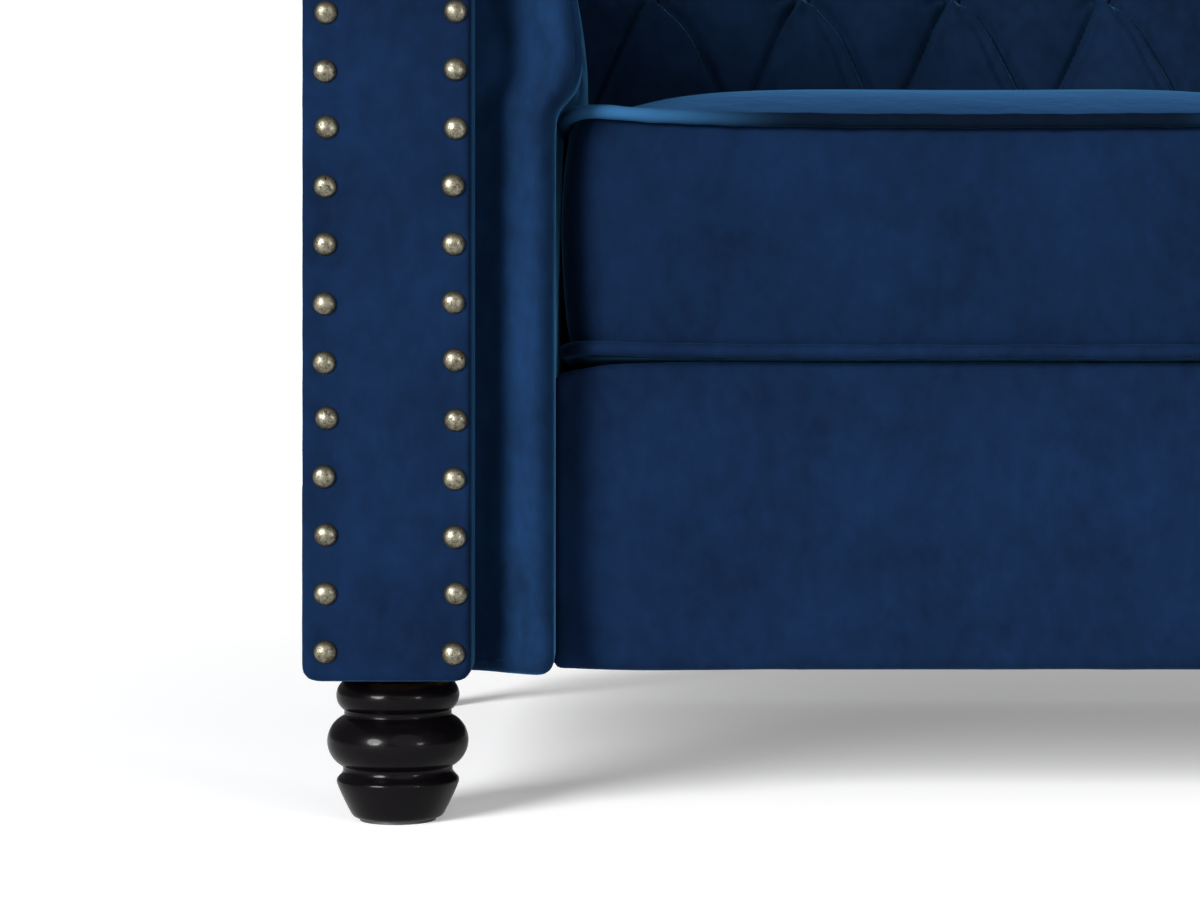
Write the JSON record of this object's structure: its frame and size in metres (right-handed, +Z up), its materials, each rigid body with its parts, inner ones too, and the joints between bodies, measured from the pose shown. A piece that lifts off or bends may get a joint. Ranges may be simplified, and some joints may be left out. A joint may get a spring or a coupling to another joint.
{
  "type": "three-seat rolled-arm sofa",
  "caption": "Rolled-arm upholstered sofa with a deep-buttoned back, nail-trimmed arm fronts, loose seat cushions that draw forwards and short turned wooden feet.",
  "frame": {"origin": "on the floor under the middle of the sofa's bounding box", "axes": "+Z up, the sitter faces -Y, +X is to the right of someone who looks at the sofa from the front"},
  "size_m": [2.0498, 0.8499, 0.735],
  "materials": {
    "velvet": "matte",
    "foam": "matte",
    "beech": "satin",
    "plywood": "matte",
    "lacquered_wood": "gloss",
    "antique_brass": "satin",
    "spring_steel": "satin",
    "zinc_steel": "satin",
    "hessian": "matte",
    "black_cloth": "matte",
    "nylon": "satin"
  },
  "bodies": {
    "frame": {"front_rail_cover": "velvet", "arm_cover_left": "velvet", "arm_cover_right": "velvet", "arm_outer_left": "velvet", "arm_outer_right": "velvet", "facing_cover_left": "velvet", "facing_cover_right": "velvet", "back_cover": "velvet", "back_outer": "velvet", "tuft_buttons": "velvet", "deck_pad": "foam", "front_rail_pad": "foam", "arm_pad_left": "foam", "arm_pad_right": "foam", "back_pad": "foam", "seat_front_rail": "beech", "seat_rear_rail": "beech", "seat_side_rails": "beech", "seat_cross_rails": "beech", "corner_blocks": "beech", "foot_blocks": "beech", "arm_rails": "beech", "back_posts": "beech", "back_rails": "beech", "arm_front_boards": "plywood", "arm_rear_boards": "plywood", "facing_board_left": "plywood", "facing_board_right": "plywood", "foot_front_left": "lacquered_wood", "foot_front_right": "lacquered_wood", "foot_rear_left": "lacquered_wood", "foot_rear_right": "lacquered_wood", "centre_leg": "lacquered_wood", "nailheads_left": "antique_brass", "nailheads_right": "antique_brass", "seat_springs": "spring_steel", "spring_clips": "spring_steel", "foot_bolts": "zinc_steel", "foot_nuts": "zinc_steel", "spring_burlap": "hessian", "arm_liners": "hessian", "back_liner": "hessian", "deck_cover": "black_cloth", "dust_cover": "black_cloth", "foot_glides": "nylon"},
    "cushion_left": {"cushion_cover_left": "velvet", "cushion_foam_left": "foam", "cushion_piping_left": "velvet", "cushion_zip_left": "nylon"},
    "zip_slider_left": {"zip_slider_left": "zinc_steel"},
    "cushion_middle": {"cushion_cover_middle": "velvet", "cushion_foam_middle": "foam", "cushion_piping_middle": "velvet", "cushion_zip_middle": "nylon"},
    "zip_slider_middle": {"zip_slider_middle": "zinc_steel"},
    "cushion_right": {"cushion_cover_right": "velvet", "cushion_foam_right": "foam", "cushion_piping_right": "velvet", "cushion_zip_right": "nylon"},
    "zip_slider_right": {"zip_slider_right": "zinc_steel"}
  },
  "joints": [
    {"name": "cushion_left_slide", "type": "slide", "parent": "frame", "child": "cushion_left", "axis": [0, -1, 0], "range_m": [0, 0.25]},
    {"name": "cushion_middle_slide", "type": "slide", "parent": "frame", "child": "cushion_middle", "axis": [0, -1, 0], "range_m": [0, 0.25]},
    {"name": "cushion_right_slide", "type": "slide", "parent": "frame", "child": "cushion_right", "axis": [0, -1, 0], "range_m": [0, 0.25]},
    {"name": "zip_left_slide", "type": "slide", "parent": "cushion_left", "child": "zip_slider_left", "axis": [-1, 0, 0], "range_m": [0, 0.416]},
    {"name": "zip_middle_slide", "type": "slide", "parent": "cushion_middle", "child": "zip_slider_middle", "axis": [-1, 0, 0], "range_m": [0, 0.416]},
    {"name": "zip_right_slide", "type": "slide", "parent": "cushion_right", "child": "zip_slider_right", "axis": [-1, 0, 0], "range_m": [0, 0.416]}
  ]
}
